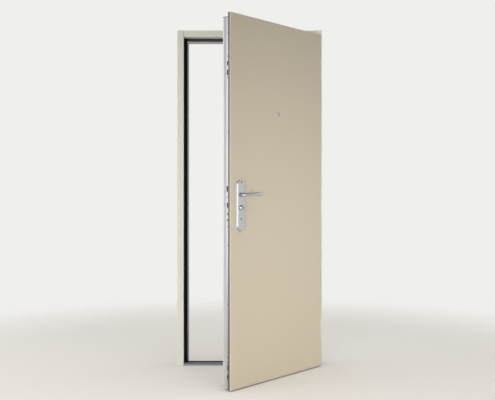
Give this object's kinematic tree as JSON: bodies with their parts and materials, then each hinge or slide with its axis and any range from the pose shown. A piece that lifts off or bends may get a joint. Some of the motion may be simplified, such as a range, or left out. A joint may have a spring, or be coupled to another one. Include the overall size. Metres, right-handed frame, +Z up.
{
  "type": "security door",
  "caption": "Security door set standing ajar: a folded steel frame with threshold and seals, and an armoured leaf on lift-off hinges with lever sets, viewer, latch and sliding bolts.",
  "frame": {"origin": "under the threshold, at mid-width and mid-depth of the frame, on the finished floor", "axes": "+X along the wall towards the hinges, +Y from the room to the landing, +Z up"},
  "size_m": [0.905, 0.7836, 2.1],
  "materials": {
    "frame_paint": "satin stoved paint, pale stone",
    "panel_laminate": "matt laminate on board, sand",
    "dark_lip_paint": "matt dark grey paint",
    "satin_aluminium": "satin anodised",
    "brushed_steel": "brushed",
    "handle_metal": "satin with bright edges",
    "cylinder_brass": "nickel plated",
    "seal_rubber": "matt black",
    "cap_plastic": "matt dark grey"
  },
  "bodies": {
    "frame": {"lock_jamb": "frame_paint", "hinge_jamb": "frame_paint", "frame_head": "frame_paint", "lower_hinge_frame_half": "frame_paint", "middle_hinge_frame_half": "frame_paint", "upper_hinge_frame_half": "frame_paint", "threshold": "satin_aluminium", "lock_side_stop_trim": "satin_aluminium", "hinge_side_stop_trim": "satin_aluminium", "head_stop_trim": "satin_aluminium", "upper_strike_plate": "brushed_steel", "main_strike_plate": "brushed_steel", "lower_strike_plate": "brushed_steel", "lock_side_seal": "seal_rubber", "hinge_side_seal": "seal_rubber", "head_seal": "seal_rubber", "threshold_seal": "seal_rubber"},
    "leaf": {"front_panel": "panel_laminate", "lip_tray": "dark_lip_paint", "lock_stile": "satin_aluminium", "hinge_stile": "satin_aluminium", "top_rail": "satin_aluminium", "bottom_rail": "satin_aluminium", "rear_panel": "panel_laminate", "lock_faceplate": "brushed_steel", "lock_stile_foot_cap": "cap_plastic", "lock_stile_top_cap": "cap_plastic", "hinge_stile_foot_cap": "cap_plastic", "hinge_stile_top_cap": "cap_plastic", "room_handle_plate": "handle_metal", "landing_handle_plate": "handle_metal", "room_cylinder_guard": "handle_metal", "landing_cylinder_guard": "handle_metal", "lock_cylinder": "cylinder_brass", "door_viewer": "handle_metal", "lower_hinge_leaf_half": "frame_paint", "middle_hinge_leaf_half": "frame_paint", "upper_hinge_leaf_half": "frame_paint"},
    "lever": {"room_lever": "handle_metal", "landing_lever": "handle_metal", "lever_spindle": "brushed_steel"},
    "latch": {"latch_bolt": "brushed_steel"},
    "bolts": {"upper_bolts": "brushed_steel", "main_bolts": "brushed_steel", "lower_bolts": "brushed_steel"}
  },
  "joints": [
    {"name": "leaf_swing", "type": "hinge", "parent": "frame", "child": "leaf", "pos_m": [0.442, -0.0665, 1.036], "axis": [0, 0, 1], "range_deg": [-50, 60]},
    {"name": "lever_turn", "type": "hinge", "parent": "leaf", "child": "lever", "pos_m": [-0.05344, -0.67095, 1.071], "axis": [-0.766, 0.6428, 0], "range_deg": [0, 40], "stiffness_Nm_per_rad": 1.5, "springref_deg": -20.05},
    {"name": "latch_slide", "type": "slide", "parent": "leaf", "child": "latch", "axis": [0.6428, 0.766, 0], "range_m": [0, 0.015]},
    {"name": "bolts_throw", "type": "slide", "parent": "leaf", "child": "bolts", "axis": [-0.6428, -0.766, 0], "range_m": [0, 0.025]}
  ],
  "couplings": [
    {"joint": "latch_slide", "follows": "lever_turn", "m_per_rad": 0.021486}
  ]
}
